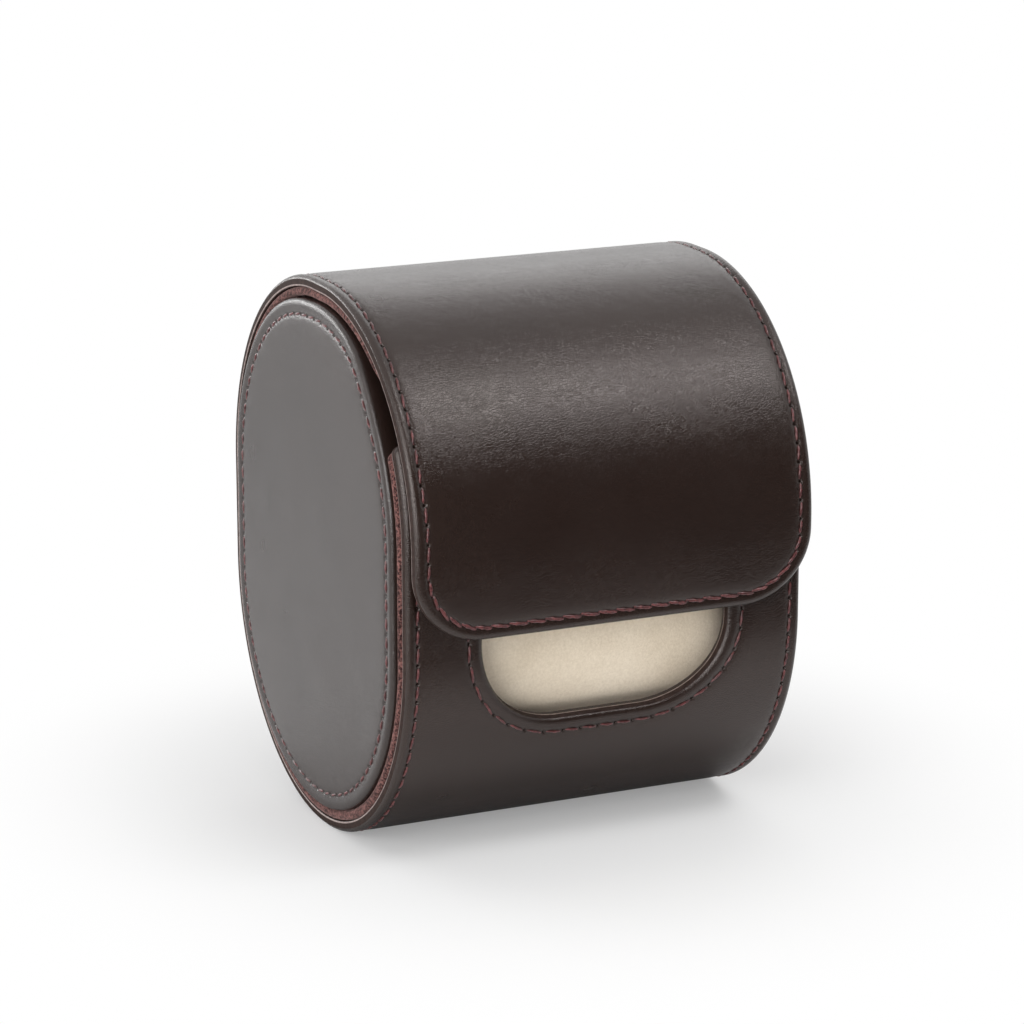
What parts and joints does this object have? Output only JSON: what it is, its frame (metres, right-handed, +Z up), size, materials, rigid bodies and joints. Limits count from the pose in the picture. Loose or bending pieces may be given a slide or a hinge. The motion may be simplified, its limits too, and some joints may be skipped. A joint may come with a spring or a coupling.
{
  "type": "watch display roll",
  "caption": "Upright leather roll for one watch, with stitched oval ends, a hinged flap closing over the front, and a suede cushion behind a U-shaped notch.",
  "frame": {"origin": "centre of the flat that the roll stands on", "axes": "+Z up, +X along the roll towards its right end seen from the front, -Y towards the viewer, so the flap closes on the -Y side and hinges on the +Y side"},
  "size_m": [0.074, 0.082, 0.095],
  "materials": {
    "case_leather": "smooth fine-grained dark brown calf leather, satin, rounded edges",
    "edge_leather": "dark leather binding with a burnished edge",
    "board": "stiff fibreboard, hidden",
    "burgundy_lining": "burgundy microsuede, short dense nap",
    "magnet": "nickel-plated flat magnet, hidden",
    "keeper": "thin tinned steel plate, hidden",
    "cushion_suede": "pale beige microsuede, soft nap",
    "foam": "open-cell foam, hidden"
  },
  "bodies": {
    "case": {"outer_wrap": "case_leather", "barrel_shell": "board", "barrel_lining": "burgundy_lining", "notch_edge_strip": "edge_leather", "front_magnets": "magnet", "end_panel_left": "case_leather", "end_panel_right": "case_leather", "end_board_left": "board", "end_board_right": "board", "end_lining_left": "burgundy_lining", "end_lining_right": "burgundy_lining"},
    "flap": {"flap_leather": "case_leather", "flap_board": "board", "flap_lining": "burgundy_lining", "flap_keepers": "keeper"},
    "cushion": {"cushion_sleeve": "cushion_suede", "cushion_core": "foam", "cushion_end_left": "cushion_suede", "cushion_end_right": "cushion_suede"}
  },
  "joints": [
    {"name": "flap_hinge", "type": "hinge", "parent": "case", "child": "flap", "pos_m": [0, 0.039, 0.052], "axis": [-1, 0, 0], "range_deg": [0, 120]},
    {"name": "cushion_lift", "type": "slide", "parent": "case", "child": "cushion", "axis": [0, 0.1392, 0.9903], "range_m": [0, 0.072]}
  ],
  "couplings": [
    {"joint": "cushion_lift", "follows": "flap_hinge", "m_per_rad": 0.034377}
  ]
}
